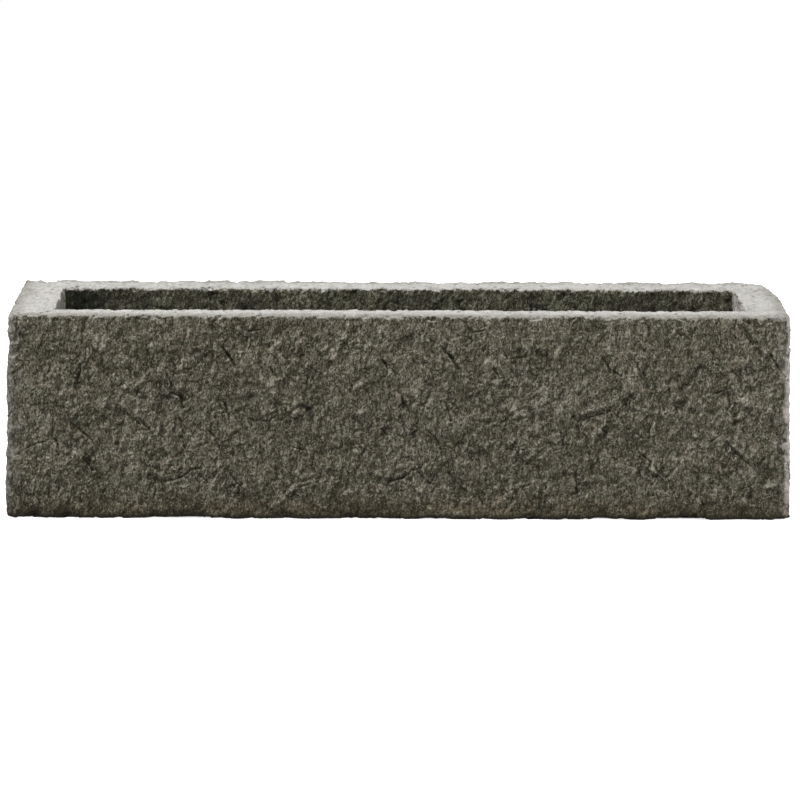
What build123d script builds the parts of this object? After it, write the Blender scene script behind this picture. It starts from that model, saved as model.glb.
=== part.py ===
"""Long stone trough planter: one thick-walled casting with three plugged drains in its floor.

Millimetres. The origin is the middle of the base on the ground, +X runs along the trough to
the right, +Y points to its back and +Z points up.
"""

import os
from math import asin, ceil, cos, degrees, radians, sin, tan

from build123d import *

os.makedirs("parts", exist_ok=True)

# Trough, outside. The size is taken at the base, and the walls lean in to the rim.
base_length = 1224.0
base_depth = 360.0
height = 322.0
wall_lean = 0.72  # degrees

# Upright corners at the base, each worn to its own radius
front_left_radius = 10.0
front_right_radius = 12.0
back_left_radius = 13.0
back_right_radius = 26.0

# The right end falls back towards its rear corner, where the casting is worn away most
worn_depth = 10.0
worn_run = 116.0
worn_shoulder_radius = 600.0

# Arrises
rim_outer_radius = 6.0
rim_inner_radius = 5.0
base_radius = 4.0

# Planting cavity, with its walls measured on the rim
front_wall = 56.0
back_wall = 70.0
left_wall = 69.0
right_wall = 66.0
floor_thickness = 60.0
cavity_draft = 2.2  # degrees
cavity_corner_radius = 3.5
floor_radius = 3.0

# Hewn relief: the mould was taken from dressed stone, and it comes again every mould_pitch
mould_pitch = 345.0
mould_start = 45.0
dish_radius = 560.0
dish_depth = 1.8
dish_overrun = 0.8
gouge_depth = 3.0

# Dishes of one mould: place along the pitch, place up the wall and depth
dish_shares = (
    (0.10, 0.13, 0.95),
    (0.42, 0.09, 1.10),
    (0.76, 0.15, 0.90),
    (0.24, 0.36, 1.25),
    (0.58, 0.40, 1.00),
    (0.92, 0.33, 1.10),
    (0.07, 0.61, 1.00),
    (0.44, 0.65, 0.80),
    (0.73, 0.60, 1.20),
    (0.27, 0.88, 1.05),
    (0.60, 0.91, 0.85),
    (0.95, 0.85, 1.15),
)

# Gouges that the mould repeats on the front: both ends, along the pitch and up the wall
mould_gouge_shares = (
    ((0.21, 0.49), (0.43, 0.56)),
    ((0.45, 0.58), (0.47, 0.48)),
    ((0.88, 0.63), (0.89, 0.54)),
    ((0.82, 0.18), (0.97, 0.25)),
    ((0.10, 0.24), (0.19, 0.13)),
    ((0.06, 0.86), (0.14, 0.73)),
    ((0.01, 0.45), (0.07, 0.29)),
    ((0.15, 0.58), (0.23, 0.62)),
    ((0.78, 0.81), (0.83, 0.72)),
    ((0.34, 0.83), (0.44, 0.80)),
    ((0.57, 0.34), (0.61, 0.48)),
)
mould_gouge_turns = (-1, 0)

# Gouges towards the front's ends, which no other place repeats: both ends, along the half
# length and up the wall
end_gouge_shares = (
    ((-0.90, 0.57), (-0.91, 0.48)),
    ((-0.83, 0.46), (-0.78, 0.38)),
    ((-0.53, 0.80), (-0.49, 0.80)),
    ((-0.61, 0.59), (-0.58, 0.61)),
    ((0.60, 0.78), (0.64, 0.65)),
    ((0.83, 0.39), (0.90, 0.28)),
    ((0.45, 0.26), (0.46, 0.11)),
)

# Drains, in a row along the middle of the cavity
drain_names = ("left", "centre", "right")
drain_spacing = 360.0
groove_width = 24.0
groove_depth = 6.0

# Drain sleeve, a flanged tube cast into the floor with a ring that keys it to the stone
sleeve_bore = 36.0
sleeve_wall = 3.0
flange_width = 9.0
flange_thickness = 3.0
mouth_chamfer = 1.2
key_ring_width = 4.0
key_ring_thickness = 4.0

# Drain plug, a ribbed stopper that pushes into the sleeve
rib_clearance = 0.08
rib_count = 3
rib_depth = 3.0
rib_thickness = 3.0
rib_lead = 4.0
shank_length = 40.0
shank_end_chamfer = 2.5
head_inset = 4.0
head_thickness = 5.0
head_edge_radius = 2.0
core_diameter = 18.0
core_depth = 28.0
grip_length = 26.0
grip_thickness = 7.0
grip_height = 12.0
grip_edge_radius = 3.0

# Every cut runs this far past the face that it opens
overrun = 10.0


# Outline at the base, from the front left corner round to the back left one
half_length = base_length / 2
half_depth = base_depth / 2
trough_outline = (
    (-half_length, -half_depth),
    (half_length, -half_depth),
    (half_length, half_depth - worn_run),
    (half_length - worn_depth, half_depth),
    (-half_length, half_depth),
)
trough_corner_radii = (
    front_left_radius,
    front_right_radius,
    worn_shoulder_radius,
    back_right_radius,
    back_left_radius,
)

# Cavity at the rim, which the lean of the walls has brought in
rim_inset = height * tan(radians(wall_lean))
cavity_left = rim_inset + left_wall - half_length
cavity_right = half_length - rim_inset - right_wall
cavity_front = rim_inset + front_wall - half_depth
cavity_back = half_depth - rim_inset - back_wall
cavity_x = (cavity_left + cavity_right) / 2
cavity_y = (cavity_front + cavity_back) / 2

# The sphere that cuts a dish is cut off flat this far round, just clear of the wall, and is then
# this wide to each side
dish_latitude = -degrees(asin(1 - (dish_depth + dish_overrun) / dish_radius))
dish_reach = dish_radius * cos(radians(dish_latitude))

# Drain places and radii
first_drain_x = -drain_spacing * (len(drain_names) - 1) / 2
drain_xs = [first_drain_x + place * drain_spacing for place in range(len(drain_names))]
sleeve_radius = sleeve_bore / 2 + sleeve_wall
flange_radius = sleeve_radius + flange_width
key_ring_radius = sleeve_radius + key_ring_width
key_ring_z = (floor_thickness - flange_thickness + groove_depth) / 2
groove_run = half_depth + overrun - cavity_y


def upright(edge: Edge) -> bool:
    """Tell a corner edge, which climbs more than it runs, from an edge that lies flat."""
    direction = edge.tangent_at(0.5)
    return abs(direction.Z) > max(abs(direction.X), abs(direction.Y))


def level_face(part: BuildPart, place: int) -> Face:
    """Give the flat face at this place when the level faces are counted from the lowest up."""
    return part.faces().filter_by(Axis.Z).sort_by(Axis.Z)[place]


def drain_axis(drain_x: float) -> Axis:
    """Give the line that a drain's sleeve and plug turn about, and the plug pulls out along."""
    return Axis((drain_x, cavity_y, 0), (0, 0, 1))


def drain_section(drain_x: float) -> Plane:
    """Give the upright plane through a drain, where x is the radius and y the height over the floor."""
    return Plane(origin=(drain_x, cavity_y, floor_thickness), x_dir=(1, 0, 0), z_dir=(0, -1, 0))


def wall_plane(outward: Vector, reach: float, lean: float) -> Plane:
    """Give the plane of a leaning wall: x runs along it, y up it from the ground and z out of it."""
    normal = outward * cos(radians(lean)) + Vector(0, 0, sin(radians(lean)))
    return Plane(origin=outward * reach, x_dir=Vector(0, 0, 1).cross(outward), z_dir=normal)


def dish_planes(wall: Plane, half_run: float, low: float) -> list[Plane]:
    """Place a wall's dishes, over its run and above this height, at the middles of their spheres."""
    first = -ceil((half_run + mould_start) / mould_pitch)
    last = ceil((half_run - mould_start) / mould_pitch)
    planes = []
    for turn in range(first, last):
        for along_share, up_share, depth_share in dish_shares:
            along = mould_start + (turn + along_share) * mould_pitch
            up = up_share * height
            middle = wall.from_local_coords((along, up, dish_radius - depth_share * dish_depth))
            if abs(along) < half_run and up > low:
                planes.append(Plane(origin=middle, x_dir=wall.x_dir, z_dir=wall.z_dir))
    return planes


def cut_gouge(wall: Plane, start: tuple[float, float], end: tuple[float, float]) -> None:
    """Cut a groove into a wall from start to end, deepest in its middle and running out at both."""
    low, high = wall.from_local_coords((*start, 0)), wall.from_local_coords((*end, 0))
    way = high - low
    with BuildSketch(Plane(origin=low, x_dir=way, z_dir=wall.z_dir.cross(way))) as half_section:
        with BuildLine():
            Polyline((0, 0), (way.length, 0), (way.length / 2, gouge_depth), close=True)
        make_face()
    revolve(half_section.sketch, axis=Axis(low, way), mode=Mode.SUBTRACT)


# Dished walls: the plane, how far the dishes run to each side and how far up they start. Those in
# the cavity keep clear of its ends and its floor.
draft_run = height * tan(radians(cavity_draft))
inner_run = min(-cavity_left, cavity_right) - draft_run - dish_reach
inner_low = floor_thickness + dish_reach
front_face = wall_plane(Vector(0, -1, 0), half_depth, wall_lean)
dished_walls = (
    (front_face, half_length, 0),
    (wall_plane(Vector(0, 1, 0), half_depth, wall_lean), half_length, 0),
    (wall_plane(Vector(-1, 0, 0), half_length, wall_lean), half_depth, 0),
    (wall_plane(Vector(1, 0, 0), half_length, wall_lean), half_depth, 0),
    (wall_plane(Vector(0, 1, 0), cavity_front + draft_run, cavity_draft), inner_run, inner_low),
    (wall_plane(Vector(0, -1, 0), draft_run - cavity_back, cavity_draft), inner_run, inner_low),
)
dishes = [plane for dished_wall in dished_walls for plane in dish_planes(*dished_wall)]

# Trough body: the casting, with its cavity, its worn edges, its hewn walls, and the holes that
# the drains leave
with BuildPart() as trough_body:
    with BuildSketch():
        with BuildLine():
            FilletPolyline(*trough_outline, radius=trough_corner_radii, close=True)
        make_face()
    extrude(amount=height, taper=wall_lean)

    with BuildSketch(Plane.XY.offset(height)):
        with Locations((cavity_x, cavity_y)):
            Rectangle(cavity_right - cavity_left, cavity_back - cavity_front)
    extrude(amount=floor_thickness - height, taper=cavity_draft, mode=Mode.SUBTRACT)
    fillet(trough_body.edges(Select.LAST).filter_by(upright), radius=cavity_corner_radius)

    # The level faces are the base, the floor and the rim
    fillet(level_face(trough_body, 1).edges(), radius=floor_radius)
    fillet(level_face(trough_body, 2).inner_wires()[0].edges(), radius=rim_inner_radius)
    fillet(level_face(trough_body, 2).outer_wire().edges(), radius=rim_outer_radius)
    fillet(level_face(trough_body, 0).outer_wire().edges(), radius=base_radius)

    # Its walls are dished outside and inside, and the front has deeper gouges too
    with Locations(*dishes):
        Sphere(dish_radius, arc_size1=-90, arc_size2=dish_latitude, align=None, mode=Mode.SUBTRACT)
    for turn in mould_gouge_turns:
        for ends in mould_gouge_shares:
            start, end = [(mould_start + (turn + along) * mould_pitch, up * height) for along, up in ends]
            cut_gouge(front_face, start, end)
    for ends in end_gouge_shares:
        start, end = [(along * half_length, up * height) for along, up in ends]
        cut_gouge(front_face, start, end)

    # Each drain has a seat for the flange, a hole for the sleeve and a wider ring for its key
    with Locations(*[(drain_x, cavity_y, floor_thickness) for drain_x in drain_xs]):
        CounterBoreHole(sleeve_radius, flange_radius, flange_thickness, floor_thickness + overrun)
    with Locations(*[(drain_x, cavity_y, key_ring_z) for drain_x in drain_xs]):
        Cylinder(key_ring_radius, key_ring_thickness, mode=Mode.SUBTRACT)

    # A groove under the base lets each drain's water out at the back
    with BuildSketch():
        with Locations(*[(drain_x, cavity_y + groove_run / 2) for drain_x in drain_xs]):
            Rectangle(groove_width, groove_run)
    extrude(amount=groove_depth, mode=Mode.SUBTRACT)

trough_body.part.label = "trough_body"
export_step(trough_body.part, "parts/trough_body.step")

# Drain sleeves: their heights are counted from the floor, with which the flange is flush
sleeve_bottom = groove_depth - floor_thickness
key_ring_bottom = key_ring_z - key_ring_thickness / 2 - floor_thickness
key_ring_top = key_ring_bottom + key_ring_thickness
for drain_name, drain_x in zip(drain_names, drain_xs):
    with BuildPart() as drain_sleeve:
        with BuildSketch(drain_section(drain_x)):
            with BuildLine():
                Polyline(
                    (sleeve_bore / 2, sleeve_bottom),
                    (sleeve_radius, sleeve_bottom),
                    (sleeve_radius, key_ring_bottom),
                    (key_ring_radius, key_ring_bottom),
                    (key_ring_radius, key_ring_top),
                    (sleeve_radius, key_ring_top),
                    (sleeve_radius, -flange_thickness),
                    (flange_radius, -flange_thickness),
                    (flange_radius, 0),
                    (sleeve_bore / 2 + mouth_chamfer, 0),
                    (sleeve_bore / 2, -mouth_chamfer),
                    close=True,
                )
            make_face()
        revolve(axis=drain_axis(drain_x))
    drain_sleeve.part.label = f"drain_sleeve_{drain_name}"
    export_step(drain_sleeve.part, f"parts/drain_sleeve_{drain_name}.step")

# Drain plugs: half a section, up the shank rib by rib and round the head
rib_radius = sleeve_bore / 2 - rib_clearance
shank_radius = rib_radius - rib_depth
head_radius = flange_radius - head_inset
rib_pitch = shank_length / (rib_count + 1)
plug_outline = [
    (0, head_thickness),
    (0, -shank_length),
    (shank_radius - shank_end_chamfer, -shank_length),
    (shank_radius, shank_end_chamfer - shank_length),
]
for rib in range(rib_count, 0, -1):
    rib_top = rib_thickness / 2 - rib * rib_pitch
    rib_bottom = rib_top - rib_thickness
    plug_outline.append((shank_radius, rib_bottom - rib_lead))
    plug_outline.append((rib_radius, rib_bottom))
    plug_outline.append((rib_radius, rib_top))
    plug_outline.append((shank_radius, rib_top))
plug_outline.append((shank_radius, 0))
plug_outline.append((head_radius, 0))
plug_outline.append((head_radius, head_thickness))

for drain_name, drain_x in zip(drain_names, drain_xs):
    with BuildPart() as drain_plug:
        with BuildSketch(drain_section(drain_x)):
            with BuildLine():
                Polyline(*plug_outline, close=True)
            make_face()
        revolve(axis=drain_axis(drain_x))
        fillet(drain_plug.edges().sort_by(Axis.Z)[-1], radius=head_edge_radius)

        # Grip: a rounded bar that stands on the head, along the trough
        with BuildSketch(Plane.XY.offset(floor_thickness + head_thickness)):
            with Locations((drain_x, cavity_y)):
                SlotOverall(grip_length, grip_thickness)
        extrude(amount=grip_height)
        fillet(drain_plug.faces().sort_by(Axis.Z)[-1].edges(), radius=grip_edge_radius)

        # Core: the hollow in the shank that lets the ribs give as they are pushed in
        with BuildSketch(Plane.XY.offset(floor_thickness - shank_length)):
            with Locations((drain_x, cavity_y)):
                Circle(core_diameter / 2)
        extrude(amount=core_depth, mode=Mode.SUBTRACT)
    drain_plug.part.label = f"drain_plug_{drain_name}"
    export_step(drain_plug.part, f"parts/drain_plug_{drain_name}.step")
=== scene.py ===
"""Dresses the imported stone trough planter: hewn cast stone, plastic drain sleeves, rubber plugs.

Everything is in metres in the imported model's own frame: +X runs along the trough to the right,
+Y points to its back, +Z points up, and the origin is the middle of the base on the ground.
"""

import itertools
import logging
from collections.abc import Iterator
from dataclasses import dataclass, field
from enum import Enum
from math import cos, radians, sin, tan

import bmesh
import bpy
import numpy as np
from mathutils import Matrix, Vector


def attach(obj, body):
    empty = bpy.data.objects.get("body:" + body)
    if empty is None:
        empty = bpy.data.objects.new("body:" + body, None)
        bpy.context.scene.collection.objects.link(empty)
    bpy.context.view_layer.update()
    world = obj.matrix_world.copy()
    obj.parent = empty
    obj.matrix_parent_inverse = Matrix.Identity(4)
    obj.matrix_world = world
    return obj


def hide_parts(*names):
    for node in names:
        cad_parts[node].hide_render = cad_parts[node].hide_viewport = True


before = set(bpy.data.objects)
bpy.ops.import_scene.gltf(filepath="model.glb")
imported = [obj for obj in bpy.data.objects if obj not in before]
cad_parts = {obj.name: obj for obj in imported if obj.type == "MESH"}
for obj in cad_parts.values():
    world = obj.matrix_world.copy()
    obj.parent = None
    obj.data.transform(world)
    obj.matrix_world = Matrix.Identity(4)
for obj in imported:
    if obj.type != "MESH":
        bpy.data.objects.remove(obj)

LOG = logging.getLogger("trough_planter")
MM = 0.001
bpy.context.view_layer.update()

# The casting's sizes, which follow the solid in the frame
HEIGHT = 322 * MM
HALF_LENGTH = 612 * MM
HALF_DEPTH = 180 * MM
WALL_LEAN = radians(0.72)
RIM_INSET = HEIGHT * tan(WALL_LEAN)
RIM_HALF_LENGTH = HALF_LENGTH - RIM_INSET
RIM_HALF_DEPTH = HALF_DEPTH - RIM_INSET
WORN_DEPTH = 10 * MM
WORN_RUN = 116 * MM
CAVITY_LEFT = 69 * MM - RIM_HALF_LENGTH
CAVITY_RIGHT = RIM_HALF_LENGTH - 66 * MM
CAVITY_FRONT = 56 * MM - RIM_HALF_DEPTH
CAVITY_BACK = RIM_HALF_DEPTH - 70 * MM
CAVITY_Y = (CAVITY_FRONT + CAVITY_BACK) / 2
FLOOR_Z = 60 * MM
DRAIN_XS = (-360 * MM, 0.0, 360 * MM)
FLANGE_RADIUS = 30 * MM

# The radii of its rounded edges, in millimetres
RIM_ARRIS = 6.0
RIM_INNER_ARRIS = 5.0
FOOT_ARRIS = 4.0

# The mould's pattern, in millimetres along a side and above the ground: how far along it comes
# again, the field that one repeat fills, and the repeats that cover a side
MOULD_PITCH = 345.0
MOULD_FIELD = ((45.0, 20.0), (45.0 + MOULD_PITCH, 308.0))
ALL_PITCHES = (-2, -1, 0, 1)
# Where each other side starts in the pattern
BACK_SHIFT = -60 * MM
LEFT_SHIFT = 170 * MM
RIGHT_SHIFT = -290 * MM
# A side is what faces out by this much and lies this far out of the cavity's wall
SIDE_FACING = 0.6
SIDE_DEPTH = 30 * MM
# A mark is felt out to this many of its widths, and some millimetres more
MARK_WIDTHS = 5
MARK_MARGIN = 4
# A cut up to this wide is pressed into a finer net, out to this far round it, in millimetres
THIN_CUT = 2.5
CUT_MARGIN = 6.0

# The stone's grain is drawn out upright, by the inverse of the last share
UPRIGHT_DRAW = (1.0, 1.0, 0.62)
# Where the painted light comes from, which paints each lump paler where it turns to it: to the
# left, to the front and up
PAINTED_LIGHT_SIDE = (-0.85, -0.3, 0.4)
# How much a point's own height and its turn to the painted light, a painted shading, count in
# its relief
OWN_RELIEF = 0.6
PAINTED_TURN_SHADE = 4.0
# Where the cavity's back wall has its first dry patch
DRY_PATCH_X = -184 * MM
ZONES = ("relief", "painted_cut_shade", "damp_and_painted_shade", "painted_light_and_scuffs", "soiled")


class Face(Enum):
    """The faces of the casting, each of which is one sheet of its flattened skin."""

    FRONT = 0
    BACK = 1
    LEFT = 2
    RIGHT = 3
    RIM = 4
    BASE = 5
    CAVITY_FRONT = 6
    CAVITY_BACK = 7
    CAVITY_LEFT = 8
    CAVITY_RIGHT = 9
    FLOOR = 10


END_FACES = (Face.LEFT, Face.RIGHT, Face.CAVITY_LEFT, Face.CAVITY_RIGHT)
LEVEL_FACES = (Face.RIM, Face.BASE, Face.FLOOR)
# How the sheets lie: the long ones in one column from the bottom up, the ends in another
SHEET_COLUMNS = (
    (Face.FRONT, Face.BACK, Face.RIM, Face.BASE, Face.CAVITY_BACK, Face.CAVITY_FRONT, Face.FLOOR),
    END_FACES,
)
SHEET_GAP = 12 * MM


def linear(hex_colour: str) -> tuple[float, float, float, float]:
    """Turn an sRGB hex colour to the linear one that a shader works in.

    Args:
        hex_colour: Six hex digits, as "a0b1c2".

    Returns:
        Linear red, green and blue, with an alpha of 1.
    """
    shares = [int(hex_colour[place : place + 2], 16) / 255 for place in (0, 2, 4)]
    red, green, blue = (
        share / 12.92 if share <= 0.04045 else ((share + 0.055) / 1.055) ** 2.4 for share in shares
    )
    return red, green, blue, 1.0


def eased(values: np.ndarray, low: float, high: float) -> np.ndarray:
    """Rise smoothly from 0 where values are at low or under to 1 where they are at high or over."""
    share = np.clip((values - low) / (high - low), 0, 1)
    return share * share * (3 - 2 * share)


def gathered(
    parts: bpy.types.bpy_prop_collection, name: str, width: int, kind: type = np.float32
) -> np.ndarray:
    """Read one property of every part of a mesh.

    Args:
        parts: The mesh's points, edges, corners or faces.
        name: The property.
        width: How many numbers it has.
        kind: What sort of numbers they are.

    Returns:
        The numbers, one row for each part.
    """
    values = np.empty(len(parts) * width, dtype=kind)
    parts.foreach_get(name, values)
    return values.reshape(-1, width)


def in_cavity(points: np.ndarray, margin: float, under: float) -> np.ndarray:
    """Tell which places lie in the cavity or just outside it.

    Args:
        points: Places, one row each.
        margin: How far behind its walls still counts.
        under: How far under its floor still counts.

    Returns:
        True for each place that does.
    """
    x, y, z = points.T
    within = (x > CAVITY_LEFT - margin) & (x < CAVITY_RIGHT + margin)
    within &= (y > CAVITY_FRONT - margin) & (y < CAVITY_BACK + margin)
    return within & (z > FLOOR_Z - under)


def from_line(points: np.ndarray, start: np.ndarray, end: np.ndarray) -> np.ndarray:
    """Measure from a straight line to places round it.

    Args:
        points: Places, one row each.
        start: Where the line starts.
        end: Where it ends.

    Returns:
        The way to each place from the nearest point on the line.
    """
    way = end - start
    share = np.clip((points - start) @ way / (way @ way), 0, 1)
    return points - start - share[:, None] * way


# How many entries the noise's table has
LATTICE = 256


class StoneNoise:
    """Seeded noise over space, the same on every run."""

    def __init__(self, seed: int) -> None:
        """Draw the lattice that every pattern of this noise is read from.

        Args:
            seed: Where the random draws start.
        """
        draw = np.random.default_rng(seed)
        self.order = draw.permutation(LATTICE)
        slopes = draw.normal(size=(LATTICE, 3))
        self.slopes = slopes / np.linalg.norm(slopes, axis=1, keepdims=True)
        self.places = draw.random((LATTICE, 3))
        self.levels = draw.uniform(-1, 1, LATTICE)

    def key(self, site: np.ndarray) -> np.ndarray:
        """Give the lattice entry of each whole-number site."""
        entry = self.order[(self.order[site[:, 0] % LATTICE] + site[:, 1]) % LATTICE]
        return self.order[(entry + site[:, 2]) % LATTICE]

    def waves(self, points: np.ndarray, wave: float) -> np.ndarray:
        """Give smooth swells and hollows about one wave apart.

        Args:
            points: Places, one row each.
            wave: Spacing of the lattice, in metres.

        Returns:
            A height for each place, mostly within -1 to 1.
        """
        cell = points / wave
        corner = np.floor(cell).astype(np.int64)
        inside = cell - corner
        ease = inside**3 * (inside * (inside * 6 - 15) + 10)
        total = np.zeros(len(points))
        for step in itertools.product((0, 1), repeat=3):
            reach = np.einsum("ij,ij->i", self.slopes[self.key(corner + step)], inside - step)
            total += np.prod(np.where(step, ease, 1 - ease), axis=1) * reach
        return total * 2

    def layers(
        self, points: np.ndarray, wave: float, count: int, fade: float = 0.5
    ) -> np.ndarray:
        """Add waves of halving length.

        Args:
            points: Places, one row each.
            wave: Spacing of the first one's lattice, in metres.
            count: How many waves there are.
            fade: How strong each is beside the one before.

        Returns:
            A height for each place, mostly within -1 to 1.
        """
        total = np.zeros(len(points))
        for place in range(count):
            total += self.waves(points + place, wave / 2**place) * fade**place
        return total / sum(fade**place for place in range(count))

    def flakes(self, points: np.ndarray, size: float, tilt: float) -> np.ndarray:
        """Break the surface into flat tilted flakes with a small step from each to the next.

        Args:
            points: Places, one row each.
            size: About how wide a flake is, in metres.
            tilt: How much of a flake's height comes from its tilt.

        Returns:
            A height for each place, mostly within -1 to 1.
        """
        cell = points / size
        corner = np.floor(cell).astype(np.int64)
        nearest = np.full(len(points), np.inf)
        height = np.zeros(len(points))
        for step in itertools.product((-1, 0, 1), repeat=3):
            site = corner + step
            entry = self.key(site)
            gap = cell - site - self.places[entry]
            distance = np.einsum("ij,ij->i", gap, gap)
            level = self.levels[entry] + tilt * np.einsum("ij,ij->i", gap, self.slopes[entry])
            closer = distance < nearest
            height[closer] = level[closer]
            nearest[closer] = distance[closer]
        return height


@dataclass(frozen=True)
class Mark:
    """A mark of the mould: a cut where its depth is over zero, otherwise a raised lip.

    All of it is in millimetres, and the path runs along a side and above the ground. The mark
    comes again at each repeat, counted in pitches of the mould.
    """

    path: tuple[tuple[float, float], ...]
    width: float
    depth: float
    repeats: tuple[int, ...]

    def reach(self, places: np.ndarray, turn: int) -> tuple[np.ndarray, np.ndarray]:
        """Measure from places on a side to this mark.

        Args:
            places: Millimetres along the side and above the ground, one row each.
            turn: Which repeat to measure to.

        Returns:
            How far each place is from the path, and how far it lies above it.
        """
        path = np.array(self.path, dtype=float) + (turn * MOULD_PITCH, 0)
        nearest = np.full(len(places), np.inf)
        above = np.zeros(len(places))
        for start, end in zip(path[:-1], path[1:]):
            gap = from_line(places, start, end)
            distance = np.linalg.norm(gap, axis=1)
            closer = distance < nearest
            nearest[closer] = distance[closer]
            above[closer] = gap[closer, 1]
        return nearest, above

    def touched(self, places: np.ndarray, margin: float) -> Iterator[tuple[np.ndarray, ...]]:
        """Find the places near each repeat of this mark.

        Args:
            places: Millimetres along the side and above the ground, one row each.
            margin: How far round the mark's path to look, in millimetres.

        Yields:
            Which places are near, how far each is from the path, and how far it lies above it.
        """
        path = np.array(self.path, dtype=float)
        for turn in self.repeats:
            low = path.min(axis=0) + (turn * MOULD_PITCH - margin, -margin)
            high = path.max(axis=0) + (turn * MOULD_PITCH + margin, margin)
            near = np.flatnonzero(((places > low) & (places < high)).all(axis=1))
            yield near, *self.reach(places[near], turn)

    def section(
        self, distance: np.ndarray, above: np.ndarray, ragged: np.ndarray
    ) -> tuple[np.ndarray, np.ndarray]:
        """Tell how places near the mark share in it.

        Args:
            distance: How far each place is from the path.
            above: How far it lies above it.
            ragged: What the mark's width and depth are times there.

        Returns:
            The share in the mark itself, and in the bank along its lower side, 0 to 1.
        """
        core = np.exp(-((distance / (self.width * ragged)) ** 2)) * ragged
        beside = np.exp(-(((distance - 2.2 * self.width) / (1.3 * self.width)) ** 2))
        return core, beside * (above < 0)


# The marks that the photograph shows, by their repeats: width, depth and the points of the path
MARK_ROWS = {
    # Those here and one pitch to the left
    (0, -1): (
        (1.4, 1.2, (67, 273), (83, 254), (92, 238)), (3.6, 1.0, (3, 199), (8, 187), (6, 176)),
        (4.0, -3.2, (-33, 72), (-20, 67)), (1.6, 1.6, (-17, 59), (8, 66), (22, 77), (36, 80)),
        (3.0, -2.0, (-14, 118), (-13, 108)), (1.6, 1.6, (80, 74), (92, 59), (108, 44)),
        (1.3, 1.4, (44, 144), (59, 128), (67, 108), (69, 93)),
        (1.2, 2.2, (34, 72), (45, 59), (55, 55)), (1.3, 2.4, (73, 183), (78, 169), (81, 155)),
    ),
    # Those here and one pitch to the right
    (0, 1): (
        (1.4, 1.8, (-274, 271), (-262, 255), (-250, 237)),
        (5.0, -2.4, (-78, 307), (-91, 278), (-102, 255)),
        (6.0, -3.0, (-186, 224), (-197, 207), (-192, 195)),
        (1.4, 2.6, (-200, 240), (-194, 232), (-189, 224)),
        (1.7, 0.8, (-228, 157), (-202, 155), (-180, 157), (-164, 171), (-150, 180)),
        (3.6, 0.7, (-247, 187), (-233, 190), (-222, 198)),
        (4.0, -1.8, (-158, 183), (-170, 172), (-155, 165)),
        (5.0, 1.0, (-144, 183), (-139, 168), (-138, 157)),
        (3.0, -2.4, (-130, 176), (-128, 158), (-130, 136)),
        (1.4, 1.2, (-103, 108), (-89, 113), (-88, 139), (-91, 155)),
        (1.4, 1.2, (-30, 259), (-20, 244), (-17, 233)),
        (1.4, 1.2, (-184, 267), (-177, 255), (-147, 259)),
        (1.1, 1.8, (-244, 312), (-234, 296), (-214, 298)), (1.3, 2.0, (-166, 115), (-148, 110)),
        (4.0, -1.6, (-158, 55), (-177, 36), (-194, 21)),
    ),
    # Those here only
    (0,): (
        (3.4, -2.2, (-64, 169), (-52, 171)),
        (3.4, -1.7, (280, 166), (305, 174), (322, 180), (333, 185), (339, 195)),
        (1.6, 1.0, (283, 157), (308, 165), (330, 174)), (1.8, 3.0, (-69, 61), (-64, 55)),
        (1.8, 1.4, (278, 81), (277, 63), (280, 36)),
        (3.4, 1.1, (-325, 257), (-316, 267), (-302, 257)), (5.4, 1.1, (-370, 191), (-359, 195)),
        (1.8, 3.4, (-356, 199), (-341, 195), (-336, 176)), (4.4, 1.4, (-403, 191), (-395, 193)),
        (3.6, 1.1, (-545, 180), (-549, 168), (-552, 158)),
        (1.4, 1.4, (-508, 149), (-494, 138), (-478, 124)), (5.4, 2.2, (-508, 128), (-502, 115)),
        (1.3, 2.4, (-541, 128), (-533, 122), (-530, 110)),
        (1.2, 2.0, (-580, 111), (-566, 119), (-550, 122)),
        (1.7, 2.4, (-497, 244), (-495, 232), (-499, 221)), (1.4, 2.0, (-433, 208), (-424, 198)),
        (1.3, 2.4, (-403, 157), (-384, 135)), (1.3, 2.2, (-363, 232), (-353, 211)),
        (1.2, 2.2, (-492, 96), (-474, 74)), (4.0, 1.7, (-439, 119), (-431, 107)),
        (5.0, -1.6, (-574, 291), (-567, 274)), (1.7, 1.4, (369, 248), (375, 229), (389, 211)),
        (1.4, 2.6, (375, 108), (394, 91)), (1.3, 2.4, (399, 86), (413, 69)),
        (2.6, -2.2, (386, 85), (408, 72), (416, 63)), (1.8, 2.6, (374, 135), (381, 130)),
        (3.0, -2.2, (392, 312), (395, 296)), (3.0, -1.8, (370, 179), (386, 171), (400, 168)),
        (5.0, 0.7, (439, 207), (445, 190), (436, 174)),
        (1.6, 1.4, (511, 124), (527, 107), (545, 91)),
        (2.6, -2.4, (519, 119), (533, 108), (547, 96)),
        (1.0, 1.8, (525, 309), (538, 294), (550, 279)),
        (1.0, 1.4, (531, 309), (545, 291), (553, 281)), (4.0, -3.2, (535, 188), (541, 180)),
        (3.0, -2.2, (539, 180), (538, 165), (528, 160)),
        (1.4, 2.6, (489, 198), (508, 207), (517, 210)),
        (1.4, 2.6, (513, 203), (516, 183), (511, 174)), (4.4, 1.8, (466, 244), (474, 241)),
        (4.4, 1.9, (485, 171), (492, 169)), (4.4, 1.9, (464, 75), (467, 67)),
        (5.0, 1.8, (549, 39), (555, 36)), (3.4, 1.8, (566, 59), (574, 61)),
        (3.4, -2.2, (561, 36), (574, 50), (586, 56)), (2.6, -2.4, (570, 136), (578, 127)),
        (1.4, 2.4, (577, 263), (589, 244), (600, 229)),
        (4.0, -2.2, (577, 196), (578, 180), (577, 168)),
    ),
}
FRONT_MARKS = tuple(
    Mark(tuple(path), width, depth, repeats)
    for repeats, rows in MARK_ROWS.items()
    for width, depth, *path in rows
)


@dataclass(frozen=True)
class ChiselStroke:
    """A kind of short stroke: the share that falls to the right, and its sizes in millimetres."""

    falling: float
    width: tuple[float, float]
    depth: tuple[float, float]


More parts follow.
